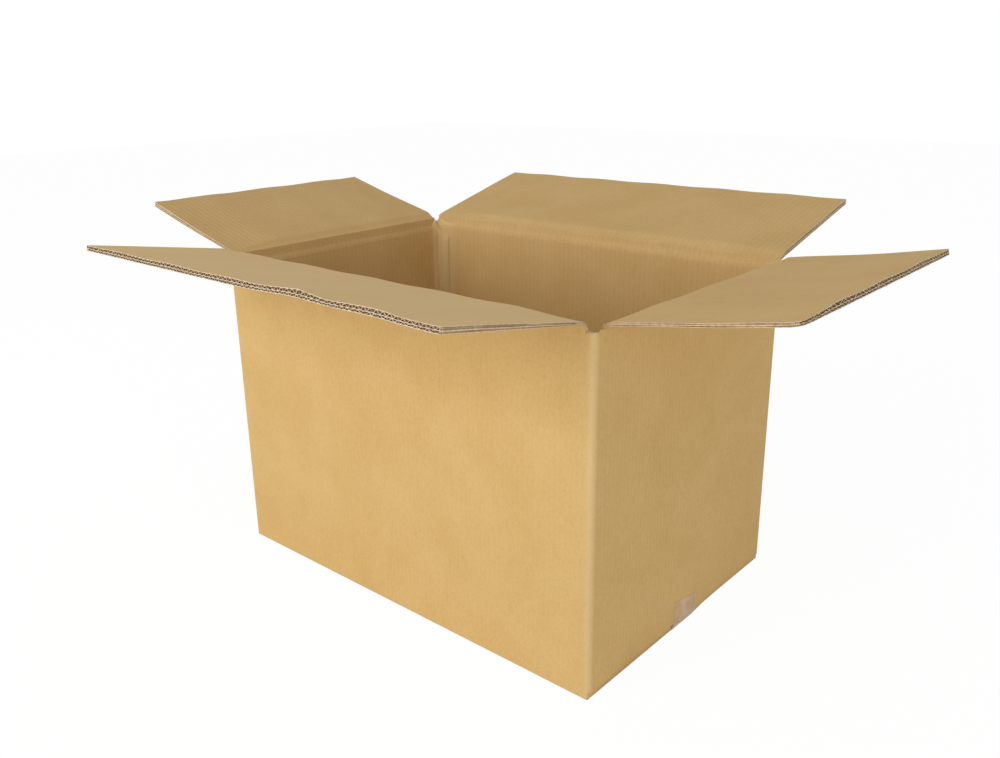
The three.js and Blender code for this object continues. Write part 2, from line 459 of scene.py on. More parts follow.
def add_modifier(piece: bpy.types.Object, kind: str, **settings: object) -> None:
    """Adds a modifier and applies it.

    Args:
        piece: the object.
        kind: the modifier's type.
        settings: the modifier's settings.
    """
    work_on(piece)
    modifier = piece.modifiers.new(kind.lower(), kind)
    for name, value in settings.items():
        setattr(modifier, name, value)
    bpy.ops.object.modifier_apply(modifier=modifier.name)


def put_board_uv(piece: bpy.types.Object, across: np.ndarray, along: np.ndarray) -> None:
    """Writes the UV map named board: metres across the flutes, and metres along them.

    Args:
        piece: the object.
        across: each point's place across the flutes.
        along: each point's place along them.
    """
    mesh = piece.data
    layer = mesh.uv_layers.get("board") or mesh.uv_layers.new(name="board")
    loops = np.empty(len(mesh.loops), int)
    mesh.loops.foreach_get("vertex_index", loops)
    pairs = np.stack([across[loops], along[loops]], axis=1)
    layer.data.foreach_set("uv", pairs.astype(np.float32).ravel())


def put_painted_light(piece: bpy.types.Object, painted_light: np.ndarray) -> None:
    """Writes how much painted light each point gets as paler paper, from 0 to 1."""
    attribute = piece.data.attributes.get("painted_light") or piece.data.attributes.new(
        "painted_light", "FLOAT", "POINT"
    )
    attribute.data.foreach_set("value", np.clip(painted_light, 0, 1).astype(np.float32))


def smooth_step(value: np.ndarray, low: float, high: float) -> np.ndarray:
    """Rises smoothly from 0 at low to 1 at high."""
    t = np.clip((value - low) / (high - low), 0, 1)
    return t * t * (3 - 2 * t)


def hump(value: np.ndarray, middle: float, width: float) -> np.ndarray:
    """A smooth hump of height 1, which fades out at about its width from the middle."""
    return np.exp(-(((value - middle) / width) ** 2))


def joint_named(name: str) -> dict[str, object]:
    """Finds a joint of the frame by its name."""
    return next(joint for joint in frame["joints"] if joint["name"] == name)


def kept_beside_crease(distance: np.ndarray) -> np.ndarray:
    """Gives the share of its thickness that the board keeps at a distance from a crease."""
    return PRESSED_SHARE + (1 - PRESSED_SHARE) * smooth_step(distance, 0, PRESSED_REACH)


@dataclass
class Crease:
    """One crease of the box: where a top flap joins its wall.

    Local places are u along the crease, v through the board from its outside, and w along the
    flap from the crease.
    """

    joint_name: str
    inward: tuple[float, float]
    origin: np.ndarray = field(init=False)
    along: np.ndarray = field(init=False)
    into: np.ndarray = field(init=False)
    fold: float = field(init=False)

    def __post_init__(self) -> None:
        """Takes the crease's place and fold from the frame's joint."""
        joint = joint_named(self.joint_name)
        self.origin = np.array(joint["pos_m"], float)
        self.along = np.array(joint["axis"], float)
        self.fold = math.radians(180 - joint["range_deg"][1])
        self.into = np.array([*self.inward, 0.0])

    def at_rest(self, u: np.ndarray, v: np.ndarray, w: np.ndarray) -> np.ndarray:
        """Places points of the flap, folded as in the photograph.

        Args:
            u: along the crease.
            v: through the board, from its outside.
            w: along the flap, from the crease.

        Returns:
            The places in the row's frame.
        """
        out = w * math.sin(self.fold) - v * math.cos(self.fold)
        up = w * math.cos(self.fold) + v * math.sin(self.fold)
        return self.beside(u, out, up)

    def beside(self, u: np.ndarray, out: np.ndarray, up: np.ndarray) -> np.ndarray:
        """Places points by their distance from the crease line.

        Args:
            u: along the crease.
            out: level, away from the box.
            up: upright.

        Returns:
            The places in the row's frame.
        """
        u, out, up = np.broadcast_arrays(u, out, up)
        u, out, up = np.atleast_1d(u), np.atleast_1d(out), np.atleast_1d(up)
        points = self.origin + np.outer(u, self.along) - np.outer(out, self.into)
        points[:, 2] += up
        return points


@dataclass(frozen=True)
class Wave:
    """A gentle wave in a flap's outer edge: its place along the crease, width and height."""

    middle: float
    width: float
    height: float


@dataclass
class TopFlap:
    """One top flap of double wall board, with its real flutes between three liners.

    Attributes:
        inward: the level direction from its wall into the box.
        rise: how far it stands above its solid beside the crease.
        near_side: 1 if the side edge near the camera is at the far end of the crease's axis, or -1.
        side_crush: the share of its thickness that the near edge keeps, at the crease and outside.
        buckle: the place of a short buckle in the inner liner at the outer edge, if it has one.
        slant: how far the near side edge stands in at the crease.
        painted_light_share: how much painted light makes its inner face paler.
        foot: where its board starts, as a distance from the crease.
    """

    node: str
    joint_name: str
    inward: tuple[float, float]
    rise: float = 0.0
    near_side: int = 1
    side_crush: tuple[float, float] = (0.5, 1.0)
    side_lift: float = 0.0
    blunt_corner: float = 1.5 * MM
    waves: tuple[Wave, ...] = ()
    buckle: float | None = None
    slant: float = 0.0
    painted_light_share: float = 0.0
    foot: float = 6.0 * MM
    rows: int = 28

    def __post_init__(self) -> None:
        """Measures the flap's solid in the frame."""
        self.crease = Crease(self.joint_name, self.inward)
        low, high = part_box(self.node)
        ends = [float(np.dot(np.array(p) - self.crease.origin, self.crease.along))
                for p in (low, high)]
        self.left, self.right = min(ends), max(ends)
        points = read_points(frame["nodes"][self.node]) - self.crease.origin
        out = -points @ self.crease.into
        far = out * math.sin(self.crease.fold) + points[:, 2] * math.cos(self.crease.fold)
        self.length = float(far.max())

    def sheet(self, name: str, columns: int) -> bpy.types.Object:
        """Adds one flat sheet of paper over the whole flap.

        Args:
            name: the sheet's name.
            columns: how many faces it has across the flutes.

        Returns:
            A grid in local places: u, w, and its height through the board. Its rows are closer
            together at the crease and at the outer edge.
        """
        start_alone()
        bpy.ops.mesh.primitive_grid_add(
            x_subdivisions=columns, y_subdivisions=self.rows, size=1.0, location=(0, 0, 0)
        )
        piece = bpy.context.object
        piece.name = name
        edit_whole(piece)
        bpy.ops.transform.resize(value=(self.right - self.left, self.length, 1.0))
        middle = ((self.left + self.right) / 2, self.length / 2, 0.0)
        bpy.ops.transform.translate(value=middle)
        bpy.ops.object.mode_set(mode="OBJECT")
        points = read_points(piece)
        share = points[:, 1] / self.length
        crowding = 0.12
        points[:, 1] = self.length * (share - crowding * np.sin(2 * math.pi * share))
        write_points(piece, points)
        return piece

    def thicken(self, piece: bpy.types.Object, thickness: float, face: bpy.types.Material,
                edge: bpy.types.Material) -> None:
        """Gives a sheet its thickness, with raw fibre on its cut edges.

        Args:
            piece: the sheet.
            thickness: the paper's thickness.
            face: the paper's material.
            edge: the material of its cut edges.
        """
        piece.data.materials.append(face)
        piece.data.materials.append(edge)
        add_modifier(
            piece, "SOLIDIFY", thickness=thickness, offset=0.0,
            material_offset_rim=1, use_even_offset=True,
        )

    def liner(self, name: str, height: float, face: bpy.types.Material,
              edge: bpy.types.Material) -> bpy.types.Object:
        """Makes one liner.

        Args:
            name: the liner's name.
            height: its middle's height through the board.
            face: the paper's material.
            edge: the material of its cut edges.

        Returns:
            The liner in local places.
        """
        columns = 48
        piece = self.sheet(name, columns)
        points = read_points(piece)
        points[:, 2] = height
        write_points(piece, points)
        self.thicken(piece, BOARD.liner, face, edge)
        return piece

    def flute(self, name: str, between: tuple[float, float], pitch: float,
              finishes: Finishes) -> bpy.types.Object:
        """Makes one fluted sheet between two liners.

        Args:
            name: the sheet's name.
            between: the lower liner's upper face and the upper liner's lower face.
            pitch: from one flute to the next.
            finishes: the materials.

        Returns:
            The fluted sheet in local places.
        """
        low, high = between
        steps_per_flute = 8
        columns = int(round((self.right - self.left) / pitch * steps_per_flute))
        piece = self.sheet(name, columns)
        points = read_points(piece)
        swing = (high - low - BOARD.paper) / 2
        wave = np.sin(2 * math.pi * points[:, 0] / pitch)
        flat_tips = np.clip(1.15 * wave, -1, 1)
        points[:, 2] = (low + high) / 2 + swing * flat_tips
        write_points(piece, points)
        self.thicken(piece, BOARD.paper, finishes.flute, finishes.edge)
        return piece

    def upright(self, name: str, columns: int, axis: int, place: float,
                between: tuple[float, float], finishes: Finishes) -> bpy.types.Object:
        """Stands a sheet up between two liners, where it closes the flutes' sides or ends.

        Args:
            name: the sheet's name.
            columns: how many faces it has across the flutes.
            axis: 0 to stand along a side edge, or 1 along the outer edge.
            place: where it stands on that axis.
            between: the lower liner's upper face and the upper liner's lower face.
            finishes: the materials.

        Returns:
            The sheet in local places. At a side it wanders, as a knife cuts the flutes.
        """
        low, high = between
        piece = self.sheet(name, columns)
        points = read_points(piece)
        start, end = ((self.left, self.right), (0.0, self.length))[axis]
        share = (points[:, axis] - start) / (end - start)
        wander = 0.5 * MM * np.sin(points[:, 1] * 70 + low * 900)
        points[:, axis] = place + wander * (axis == 0)
        points[:, 2] = low + (high - low) * share
        write_points(piece, points)
        self.thicken(piece, BOARD.paper, finishes.flute, finishes.edge)
        return piece

    def near_side_edge(self) -> float:
        """Gives the place along the crease of the side edge nearest to the camera."""
        return self.right if self.near_side > 0 else self.left

    def near_edge(self, u: np.ndarray) -> np.ndarray:
        """Rises to 1 at the side edge that is nearest to the camera."""
        return 1 - smooth_step(np.abs(u - self.near_side_edge()), 2 * MM, 80 * MM)

    def pressed(self, u: np.ndarray, w: np.ndarray) -> np.ndarray:
        """Gives the share of its thickness that the board keeps.

        Args:
            u: along the crease.
            w: along the flap.

        Returns:
            The share, least at the pressed crease and along the crushed side edge.
        """
        reach = np.clip(w / self.length, 0, 1)
        first, last = self.side_crush
        side = first + (last - first) * np.clip(reach * 1.25, 0, 1)
        keep = 1 - self.near_edge(u) * (1 - side)
        for wave in self.waves:
            pinch = hump(u, wave.middle + wave.width, 9 * MM) * (reach > 0.9)
            keep = keep - 0.12 * pinch
        uneven = 0.93 + 0.07 * np.cos(u * 61)
        return np.minimum(kept_beside_crease(w), keep) * uneven

    def lift(self, u: np.ndarray, w: np.ndarray) -> np.ndarray:
        """Gives how far the flap is bent up out of its plane.

        Args:
            u: along the crease.
            w: along the flap.

        Returns:
            The height above the straight flap.
        """
        reach = np.clip(w / self.length, 0, 1)
        rise_fades = 130 * MM
        raised = self.rise * (1 - smooth_step(w, 0, rise_fades))
        for wave in self.waves:
            raised = raised + wave.height * hump(u, wave.middle, wave.width) * reach**2
        side = self.side_lift * self.near_edge(u) * np.sin(reach * math.pi * 0.9)
        return raised + side

    def blunted(self, u: np.ndarray, w: np.ndarray) -> tuple[np.ndarray, np.ndarray]:
        """Rounds the knocked near corner off, and slants the near edge.

        Args:
            u: along the crease.
            w: along the flap.

        Returns:
            The moved places along the crease and along the flap.
        """
        past_u = self.blunt_corner - np.abs(self.near_side_edge() - u)
        past_w = self.blunt_corner - (self.length - w)
        inside = (past_u > 0) & (past_w > 0)
        size = np.hypot(past_u, past_w) + 1e-9
        shrink = np.where(inside, np.maximum(past_u, past_w) / size, 1.0)
        moved_u = u - self.near_side * np.where(inside, past_u * (1 - shrink), 0)
        moved_w = w - np.where(inside, past_w * (1 - shrink), 0)
        stands_in = self.slant * self.near_edge(u) * (1 - w / self.length)
        return moved_u - self.near_side * stands_in, moved_w

    def layers(self, finishes: Finishes) -> list[bpy.types.Object]:
        """Makes the three liners, the two flutes, and what closes the flutes' sides and ends.

        Args:
            finishes: the materials.

        Returns:
            The sheets in local places.
        """
        b = BOARD
        fine = (b.liner, b.liner + b.outer_flute)
        coarse = (fine[1] + b.liner, b.thickness - b.liner)
        middle = fine[1] + b.liner / 2
        made = [
            self.liner("outer", b.liner / 2, finishes.outside, finishes.edge),
            self.flute("fine", fine, b.outer_pitch, finishes),
            self.liner("middle", middle, finishes.flute, finishes.edge),
            self.flute("coarse", coarse, b.inner_pitch, finishes),
            self.liner("inner", b.thickness - b.liner / 2, finishes.inside, finishes.edge),
        ]
        stops = self.length - 2.6 * MM
        sides = (self.left + 0.9 * MM, self.right - 0.9 * MM)
        made += [self.upright("stop", 60, 1, stops, gap, finishes) for gap in (fine, coarse)]
        made += [self.upright("side", 2, 0, side, gap, finishes)
                 for side in sides for gap in (fine, coarse)]
        return made

    def bent(self, local: np.ndarray) -> np.ndarray:
        """Crushes, frays, bends and folds the flap as the used one is.

        Args:
            local: the straight flap's points, as u, w and v.

        Returns:
            The places in the row's frame.
        """
        u, w, v = local.T
        w_here = self.foot + w * (self.length - self.foot) / self.length
        u_here, w_here = self.blunted(u, w_here)
        frayed = 0.3 * MM * (np.sin(u * 900 + v * 4000) + np.sin(u * 2300 - v * 2500))
        w_here = w_here - np.abs(frayed) * smooth_step(w_here, self.length - 3 * MM, self.length)
        clearance = 0.15 * MM
        v_here = v * self.pressed(u, w_here) + clearance + self.lift(u, w_here)
        if self.buckle is not None:
            top = smooth_step(v, INNER_LINER, 6.4 * MM) * smooth_step(w_here, 0.172, self.length)
            v_here = v_here + 1.1 * MM * top * hump(u, self.buckle, 9 * MM)
        return self.crease.at_rest(u_here, v_here, w_here)

    def build(self, finishes: Finishes) -> bpy.types.Object:
        """Builds the flap and hangs it on its body.

        Args:
            finishes: the materials.

        Returns:
            The finished flap.
        """
        layers = self.layers(finishes)
        start_alone()
        for layer in layers:
            layer.select_set(True)
        bpy.context.view_layer.objects.active = layers[0]
        bpy.ops.object.join()
        piece = bpy.context.object
        piece.name = f"{self.node}_board"
        local = read_points(piece)
        put_board_uv(piece, local[:, 0], local[:, 1])
        # Painted light: the flap's inner liner is painted paler.
        put_painted_light(piece, self.painted_light_share * (local[:, 2] > INNER_LINER))
        write_points(piece, self.bent(local))
        shade_smooth(piece, 40)
        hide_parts(self.node)
        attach(piece, self.node)
        return piece


@dataclass
class PressedCrease:
    """The crushed band of paper at a top flap's crease, shaped to the flap's fold.

    Attributes:
        outer_reach: how far it goes to each side of the crease on the outside of the board.
        bend: how far the bend itself goes to each side.
        blend: a place on its outer face, this far to each side of the crease, where its section has
            a point.
        proud: how far it stands off the board.
        tuck: how far its edges sink into the board.
    """

    flap: TopFlap
    outer_reach: float = 10.5 * MM
    inner_reach: float = 17 * MM
    bend: float = 3.5 * MM
    blend: float = 9 * MM
    proud: float = 0.12 * MM
    tuck: float = 0.25 * MM
    steps: int = 40

    def section(self, u: float, s: float, share: float, skin: float) -> list[float]:
        """Places a point of the band's section.

        Args:
            u: the section's place along the crease.
            s: distance from the crease, less than 0 on the wall and more on the flap.
            share: 0 for the outer face of the board, 1 for its inner face.
            skin: how far the point stands off that face.

        Returns:
            Its distance out from the crease line, and up from it.
        """
        crease = self.flap.crease
        turned = float(smooth_step(np.array(s), -self.bend, self.bend))
        angle = crease.fold * turned
        if s > 0:
            pressed = float(self.flap.pressed(np.array(u), np.array(s)))
            raised = float(self.flap.lift(np.array(u), np.array(s)))
        else:
            pressed = float(kept_beside_crease(np.array(-s)))
            raised = self.flap.rise * float(smooth_step(np.array(s), -7 * MM, 0))
        v = share * BOARD.thickness * pressed + skin * (2 * share - 1)
        if s <= 0:
            base = np.array([0.0, s])
        else:
            base = s * np.array([math.sin(crease.fold), math.cos(crease.fold)])
        base = base + raised * np.array([-math.cos(crease.fold), math.sin(crease.fold)])
        return [base[0] - v * math.cos(angle), base[1] + v * math.sin(angle)]

    def profile(self, u: float) -> np.ndarray:
        """Draws the band's section at one place along the crease.

        Args:
            u: the section's place along the crease.

        Returns:
            A closed loop of places out from the crease line and up from it.
        """
        one_side = np.array([1 * MM, 2 * MM, self.bend, 6 * MM, self.blend, self.outer_reach])
        outer = [*-one_side[::-1], 0.0, *one_side]
        inner = np.linspace(self.inner_reach, -self.inner_reach, 25)
        loop = []
        for share, places in ((0.0, outer), (1.0, inner)):
            for s in places:
                skin = -self.tuck if s in (places[0], places[-1]) else self.proud
                loop.append(self.section(u, float(s), share, skin))
        return np.array(loop)

    def build(self, finishes: Finishes) -> bpy.types.Object:
        """Builds the band and blends it from the wall to the flap.

        Args:
            finishes: the materials.

        Returns:
            The finished band.
        """
        crease = self.flap.crease
        loop = self.profile(0.0)
        start_alone()
        bpy.ops.mesh.primitive_circle_add(vertices=len(loop), radius=1.0, fill_type="NGON")
        piece = bpy.context.object
        piece.name = f"{self.flap.node}_crease"
        inset = 0.05 * MM
        left, right = self.flap.left + inset, self.flap.right - inset
        if self.flap.near_side < 0:
            left += self.flap.slant
        write_points(piece, crease.beside(left, loop[:, 0], loop[:, 1]))
        stride = Vector(crease.along) * ((right - left) / self.steps)
        edit_whole(piece)
        for _ in range(self.steps):
            bpy.ops.mesh.extrude_region_move(TRANSFORM_OT_translate={"value": stride})
        bpy.ops.mesh.select_all(action="SELECT")
        bpy.ops.mesh.normals_make_consistent(inside=False)
        bpy.ops.object.mode_set(mode="OBJECT")
        self.follow_the_board(piece, loop)
        self.dress(piece, finishes)
        shade_smooth(piece, 50)
        middle = BOARD.thickness / 2
        sine, cosine = math.sin(crease.fold), math.cos(crease.fold)
        start = crease.beside(0.0, -middle, -self.blend)[0]
        end = crease.beside(
            0.0, self.blend * sine - middle * cosine, self.blend * cosine + middle * sine
        )[0]
        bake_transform(piece)
        return piece

    def follow_the_board(self, piece: bpy.types.Object, loop: np.ndarray) -> None:
        """Fits each section to the board at its place, and writes the sheet's place and its painted
        light.

        Args:
            piece: the straight band.
            loop: the section that it was drawn along the crease with.
        """
        crease = self.flap.crease
        points = read_points(piece)
        u = (points - crease.origin) @ crease.along
        up = points[:, 2] - crease.origin[2]
        out = -(points - crease.origin) @ crease.into
        gaps = (out[:, None] - loop[:, 0]) ** 2 + (up[:, None] - loop[:, 1]) ** 2
        place = gaps.argmin(axis=1)
        for station in np.unique(np.round(u, 6)):
            here = np.abs(u - station) < 1e-5
            ring = self.profile(float(station))[place[here]]
            points[here] = crease.beside(u[here], ring[:, 0], ring[:, 1])
        write_points(piece, points)
        put_board_uv(piece, u, up)
        outer_points = 13  # the loop starts with those on the outside of the board
        # The inner face gets the flap's painted light.
        put_painted_light(piece, self.flap.painted_light_share * (place >= outer_points))

    def dress(self, piece: bpy.types.Object, finishes: Finishes) -> None:
        """Gives the band's inside, outside and cut ends their papers.

        Args:
            piece: the band.
            finishes: the materials.
        """
        crease = self.flap.crease
        for material in (finishes.outside, finishes.inside, finishes.flute):
            piece.data.materials.append(material)
        for face in piece.data.polygons:
            centre = np.array(face.center) - crease.origin
            out = -float(centre @ crease.into)
            sideways = abs(float(np.array(face.normal) @ crease.along))
            outer = face.normal.z < -0.3 or (out > -0.5 * MM and face.normal.z < 0.1)
            side = BoardFace.OUTSIDE if outer else BoardFace.INSIDE
            face.material_index = BoardFace.CUT if sideways > 0.5 else side


@dataclass
class Carton:
    """The four walls, the bottom flaps and the glued lap, cut from one sheet.

    Attributes:
        grid: the size of the faces that the walls are cut into.
        bead_height: how far the bead at the lap's corner stands off the end wall.
        lap: where the lap's free edge lies, as distances from the end wall's inner face.
        lap_depth: how far from the back wall's inner face a point still belongs to the lap.
        lap_shift: how much nearer the corner the lap's free edge is than in the solid.
        lifted_edge: how far the far half of the right end's bottom edge is lifted.
        post_rise: how much higher the corners stand between the slots.
        post_fade: from where to where the rise fades out, from the outside of the board.
    """

    grid: float = 24 * MM
    bead_height: float = 5.0 * MM
    bead_width: float = 5.5 * MM
    lap: tuple[float, float] = (15 * MM, 36 * MM)
    lap_depth: float = 5.0 * MM
    lap_shift: float = 6.5 * MM
    lifted_edge: float = 2.6 * MM
    post_rise: float = 4.5 * MM
    post_fade: tuple[float, float] = (9 * MM, 16 * MM)

    def __post_init__(self) -> None:
        """Measures the walls in the frame."""
        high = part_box("carton_body")[1]
        self.half_length, self.half_width = float(high.x), float(high.y)
        self.end_face = BOARD.thickness - self.half_length
        self.back_face = self.half_width - BOARD.thickness

    def cut_finely(self, piece: bpy.types.Object) -> None:
        """Cuts the copied solid into small faces, finer at the lap's corner and the creases.

        Args:
            piece: the copied solid.
        """
        fine = [2 * MM, 5 * MM, 8 * MM, 11 * MM, 15 * MM, 20 * MM]
        near_corner = [self.back_face - d for d in fine]
        levels = [*np.arange(self.grid, 0.378, self.grid), *np.arange(0.379, 0.3995, 2.4 * MM)]
        levels += [4 * MM, 10 * MM]
        planes = [((0, 0, z), (0, 0, 1)) for z in levels]
        planes += [((0, y, 0), (0, 1, 0)) for y in near_corner]
        planes += [((x, 0, 0), (1, 0, 0))
                   for x in np.arange(-self.half_length + self.grid, self.half_length, self.grid)]
        planes += [((0, y, 0), (0, 1, 0))
                   for y in np.arange(-self.half_width + self.grid, self.half_width, self.grid)]
        cut_across(piece, planes)

    def over_lap(self, points: np.ndarray) -> np.ndarray:
        """Finds the lap's free edge.

        Args:
            points: the points of the straight carton.

        Returns:
            True for each point at that edge, at any height.
        """
        x, y, _ = points.T
        near_back = (y > self.back_face - self.lap_depth) & (y < self.back_face + 0.2 * MM)
        first, last = self.lap
        return near_back & (x > self.end_face + first) & (x < self.end_face + last)

    def shaped(self, points: np.ndarray) -> np.ndarray:
        """Moves the walls' points as the used board has moved.

        Args:
            points: the points of the straight carton.

        Returns:
            The points with a beaded inner corner, thin creases and a sagging bottom edge.
        """
        moved = points.copy()
        x, y, z = points.T
        above_bottom = z > 16 * MM
        on_end = (np.abs(x - self.end_face) < 0.2 * MM) & above_bottom & (z < 0.375)
        bead = hump(y, self.back_face - self.bead_width, self.bead_width * 0.75)
        fuller_below = 0.6 + 0.4 * smooth_step(-z, -0.36, -0.3)
        moved[:, 0] += on_end * self.bead_height * bead * fuller_below

        moved[:, 0] -= self.lap_shift * (self.over_lap(points) & above_bottom & (z < 0.39))
        lap_top = (x < self.end_face + self.lap[1]) & (y < self.back_face - 1 * MM)
        lap_top &= y > self.back_face - self.lap_depth
        to_crease = lap_top * smooth_step(z, 0.35, 0.372) * (z < 0.391)
        moved[:, 2] += 9 * MM * to_crease
        moved[:, 1] += (self.back_face - 0.5 * MM - y) * to_crease

        in_x = 1 - smooth_step(self.half_length - np.abs(x), *self.post_fade)
        in_y = 1 - smooth_step(self.half_width - np.abs(y), *self.post_fade)
        stretch = smooth_step(z, 0.376, 0.388) * (1 - smooth_step(z, 0.3885, 0.4))
        moved[:, 2] += self.post_rise * in_x * in_y * stretch * ~lap_top

        far_half = smooth_step(y, 25 * MM, 60 * MM) * (1 - smooth_step(z, 3 * MM, 22 * MM))
        moved[:, 2] += self.lifted_edge * far_half * (x > self.half_length - 9 * MM)
        return self.pressed(points, moved)

    def pressed(self, points: np.ndarray, moved: np.ndarray) -> np.ndarray:
        """Presses the walls thin below the creases.

        Args:
            points: the points of the straight carton.
            moved: the same points where they are now.

        Returns:
            The moved points, with the inner faces drawn towards the outer ones.
        """
        walls = ((0, self.half_length, "right_crease"), (1, self.half_width, "front_crease"))
        for axis, outside, crease in walls:
            depth = outside - np.abs(points[:, axis])
            below = joint_named(crease)["pos_m"][2] - points[:, 2]
            in_wall = depth < BOARD.thickness + 0.3 * MM
            drawn = np.sign(points[:, axis]) * depth * (1 - kept_beside_crease(below))
            moved[:, axis] += np.where(in_wall, drawn, 0)
        return moved

    def build(self, finishes: Finishes) -> bpy.types.Object:
        """Builds the carton from a copy of its solid.

        Args:
            finishes: the materials.

        Returns:
            The finished carton.
        """
        piece = copy_of("carton_body", "carton_board")
        edit_whole(piece)
        bpy.ops.mesh.dissolve_limited(angle_limit=math.radians(0.5))
        bpy.ops.object.mode_set(mode="OBJECT")
        self.cut_finely(piece)
        self.dress(piece, finishes)
        write_points(piece, self.shaped(read_points(piece)))
        shade_smooth(piece, 35)
        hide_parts("carton_body")
        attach(piece, "carton")
        return piece

    def dress(self, piece: bpy.types.Object, finishes: Finishes) -> None:
        """Gives each face its paper, its place on the sheet and its painted light.

        Args:
            piece: the straight carton.
            finishes: the materials.
        """
        mesh = piece.data
        for material in (finishes.outside, finishes.inside, finishes.edge):
            mesh.materials.append(material)
        layer = mesh.uv_layers.get("board") or mesh.uv_layers.new(name="board")
        inner_side = BOARD.thickness + 0.1 * MM
        for face in mesh.polygons:
            normal, centre = face.normal, face.center
            end_panel = abs(centre.x) > self.half_length - inner_side
            long_panel = abs(centre.y) > self.half_width - inner_side
            across_x = abs(normal.y) > abs(normal.x)
            if abs(normal.z) > 0.6:
                across_x = long_panel or not end_panel
            for loop in face.loop_indices:
                co = mesh.vertices[mesh.loops[loop].vertex_index].co
                layer.data[loop].uv = (co.x if across_x else co.y, co.z)
            outwards = normal.x * centre.x / self.half_length
            outwards += normal.y * centre.y / self.half_width
            outside = outwards > 0.3 or normal.z < -0.5
            cut = centre.z > 0.38 and normal.z > 0.2
            side = BoardFace.OUTSIDE if outside else BoardFace.INSIDE
            face.material_index = BoardFace.CUT if cut else side
        put_painted_light(piece, self.painted_light_share(read_points(piece)))

    def painted_light_share(self, points: np.ndarray) -> np.ndarray:
        """Gives the painted light on the rounded corners, the lap and the bead, as paler paper.

        Args:
            points: the points of the straight carton.

        Returns:
            The painted light at each point, from 0 to 1 or a little more.
        """
        x, y, _ = points.T
        corner = np.hypot(self.half_length - np.abs(x), self.half_width - np.abs(y))
        # Painted highlight along the rounded vertical corners, where they catch the light.
        painted_highlight = 0.5 * (1 - smooth_step(corner, 3 * MM, 9 * MM))
        # Painted light on the lap's free edge, which lies in shade inside the box.
        painted_highlight += 0.6 * self.over_lap(points)
        # Painted highlight on the bead, which leans towards the light.
        on_end = (np.abs(x - self.end_face) < 0.2 * MM) & (y > 0)
        painted_highlight += 0.9 * on_end * hump(y, self.back_face - self.bead_width * 0.8, 4 * MM)
        return painted_highlight


@dataclass(frozen=True)
class BottomTape:
    """The packing tape along the bottom seam, turned up over both ends.

    Under each end wall's rounded fold it is drawn in against the ends of the long bottom flaps.

    Attributes:
        fold_top: the height where the fold starts.
        fold_drop: how far down the tape leans in.
        drawn_in: how far it is drawn in at the bottom.
        proud: how far it stands off its solid, so that it isn't level with the board.
    """

    fold_top: float = 10.3 * MM
    fold_drop: float = 10.0 * MM
    drawn_in: float = 3.0 * MM
    proud: float = 0.1 * MM

    def drawn(self, points: np.ndarray) -> np.ndarray:
        """Draws the tape's upright ends in below the walls' folds.

        Args:
            points: the square tape's points.

        Returns:
            The points, with both ends leaning in towards the floor.
        """
        moved = points.copy()
        outside = float(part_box("carton_body")[1].x)
        upright = np.abs(points[:, 0]) > outside - 0.5 * MM
        depth = smooth_step(self.fold_top - points[:, 2], 0, self.fold_drop)
        moved[:, 0] -= np.sign(points[:, 0]) * self.drawn_in * depth * upright
        return moved

    def build(self, finishes: Finishes) -> bpy.types.Object:
        """Builds the tape from a copy of its solid, a hair proud of the board.

        Args:
            finishes: the materials.

        Returns:
            The finished tape.
        """
        piece = copy_of("bottom_tape", "tape_strip")
        piece.data.materials.append(finishes.tape)
        edit_whole(piece)
        bpy.ops.transform.shrink_fatten(value=self.proud)
        levels = [self.fold_top - step / 5 * self.fold_drop for step in range(5)]
        cut_across(piece, [((0, 0, z), (0, 0, 1)) for z in levels])
        write_points(piece, self.drawn(read_points(piece)))
        shade_smooth(piece, 35)
        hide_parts("bottom_tape")
        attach(piece, "carton")
        return piece


def seen_directly(tree: bpy.types.NodeTree) -> bpy.types.NodeSocket:
    """Adds nodes that tell what the camera sees, straight or by gloss or glass.

    Args:
        tree: the node tree that takes them.

    Returns:
        A socket that is 1 for such a ray, and otherwise 0.
    """
    ray = add_node(tree, "LightPath").outputs
    larger = {"operation": "MAXIMUM"}
    either = add_node(tree, "Math", {0: ray["Is Camera Ray"], 1: ray["Is Glossy Ray"]}, larger)
    inputs = {0: either.outputs[0], 1: ray["Is Transmission Ray"]}
    return add_node(tree, "Math", inputs, larger).outputs[0]


